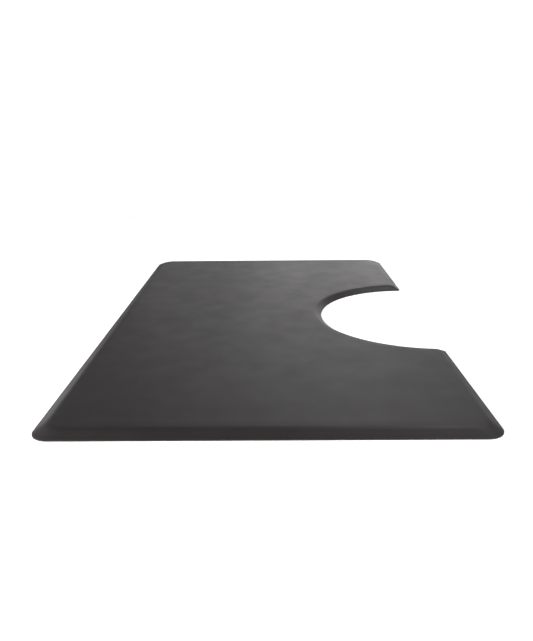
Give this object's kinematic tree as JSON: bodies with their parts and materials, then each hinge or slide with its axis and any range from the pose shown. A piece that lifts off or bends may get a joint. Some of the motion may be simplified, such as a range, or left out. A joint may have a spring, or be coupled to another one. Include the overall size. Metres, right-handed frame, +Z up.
{
  "type": "anti fatigue mat",
  "caption": "Cushioned standing mat with bevelled edges, rounded corners and a half-round notch in one long side for the base of a salon chair.",
  "frame": {"origin": "middle of the mat's footprint, at floor level", "axes": "+Z up out of the standing surface, +X towards the long side that has the half-round notch, +Y along the mat's length"},
  "size_m": [0.914, 1.524, 0.0159],
  "materials": {
    "wear_skin": "satin charcoal polyurethane skin with a very fine grain",
    "foam": "resilient closed-cell foam",
    "base_skin": "matt non-slip sheet with shallow round grip cells"
  },
  "bodies": {
    "root": {"wear_skin": "wear_skin", "foam_core": "foam", "base_skin": "base_skin"}
  },
  "joints": []
}
